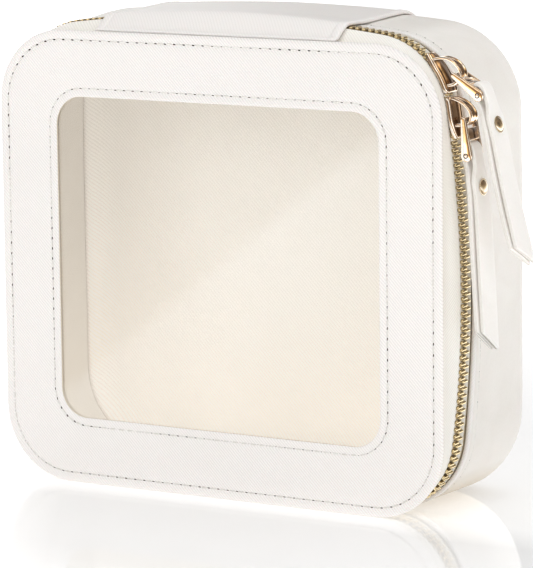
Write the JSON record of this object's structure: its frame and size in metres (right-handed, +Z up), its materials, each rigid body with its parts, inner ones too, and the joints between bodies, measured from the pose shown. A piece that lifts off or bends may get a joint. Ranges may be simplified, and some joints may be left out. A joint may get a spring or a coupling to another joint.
{
  "type": "makeup case",
  "caption": "Upright zip-around makeup case with a clear window in its hinged front panel, two zipper sliders and long folded leather pulls.",
  "frame": {"origin": "centre of the flat underside the case stands on, halfway between its left and right sides and halfway between front and back", "axes": "+X to the right seen from the window side, +Y from the window front towards the back, +Z up; the window front faces -Y"},
  "size_m": [0.2571, 0.08, 0.2111],
  "materials": {
    "panel_leather": "white crosshatch-embossed leather over stiff board, satin",
    "wall_leather": "soft off-white grained leather, satin",
    "trim_leather": "off-white folded leather trim",
    "clear_film": "clear flexible plastic sheet",
    "cream_lining": "smooth cream lining",
    "stiff_board": "plain stiffening board",
    "zip_tape": "woven cream tape",
    "antique_brass": "polished antique gold, darker in the recesses",
    "pull_metal": "polished pale antique gold"
  },
  "bodies": {
    "case_body": {"body_gusset": "wall_leather", "body_rim": "trim_leather", "body_stiffener": "stiff_board", "body_lining": "cream_lining", "back_panel": "panel_leather", "back_board": "stiff_board", "back_lining": "cream_lining", "zipper_tape_body": "zip_tape", "zipper_teeth_body": "antique_brass", "end_stop_right_body": "antique_brass", "end_stop_left_body": "antique_brass", "hinge_leather_body": "trim_leather"},
    "lid": {"lid_face": "panel_leather", "window_sheet": "clear_film", "lid_board": "stiff_board", "lid_lining": "cream_lining", "lid_gusset": "panel_leather", "lid_gusset_lining": "cream_lining", "zipper_tape_lid": "zip_tape", "zipper_teeth_lid": "antique_brass", "end_stop_right_lid": "antique_brass", "end_stop_left_lid": "antique_brass", "hinge_leather_lid": "trim_leather"},
    "slider_upper": {"slider_upper": "antique_brass"},
    "slider_lower": {"slider_lower": "antique_brass"},
    "bail_upper": {"bail_upper": "pull_metal"},
    "bail_lower": {"bail_lower": "pull_metal"},
    "strap_upper": {"strap_upper": "trim_leather", "rivet_cap_upper": "antique_brass", "rivet_back_upper": "antique_brass"},
    "strap_lower": {"strap_lower": "trim_leather", "rivet_cap_lower": "antique_brass", "rivet_back_lower": "antique_brass"}
  },
  "joints": [
    {"name": "lid_hinge", "type": "hinge", "parent": "case_body", "child": "lid", "pos_m": [0, -0.0244, 0.2116], "axis": [-1, 0, 0], "range_deg": [0, 180]},
    {"name": "slider_upper_travel", "type": "hinge", "parent": "case_body", "child": "slider_upper", "pos_m": [0.07232, -0.0244, 0.16982], "axis": [0, -1, 0], "range_deg": [0, 25]},
    {"name": "slider_lower_travel", "type": "hinge", "parent": "case_body", "child": "slider_lower", "pos_m": [-0.3566, -0.0244, 0.095], "axis": [0, 1, 0], "range_deg": [0, 6.2]},
    {"name": "bail_upper_swing", "type": "hinge", "parent": "slider_upper", "child": "bail_upper", "pos_m": [0.11029, -0.0244, 0.18807], "axis": [0, -1, 0], "range_deg": [-4, 60]},
    {"name": "bail_lower_swing", "type": "hinge", "parent": "slider_lower", "child": "bail_lower", "pos_m": [0.11471, -0.0244, 0.16994], "axis": [0, -1, 0], "range_deg": [-1.5, 7]},
    {"name": "strap_upper_swing", "type": "hinge", "parent": "bail_upper", "child": "strap_upper", "pos_m": [0.12143, -0.0244, 0.18026], "axis": [0, -1, 0], "range_deg": [-4, 40]},
    {"name": "strap_lower_swing", "type": "hinge", "parent": "bail_lower", "child": "strap_lower", "pos_m": [0.11614, -0.0244, 0.15501], "axis": [0, -1, 0], "range_deg": [-1.5, 7]}
  ]
}
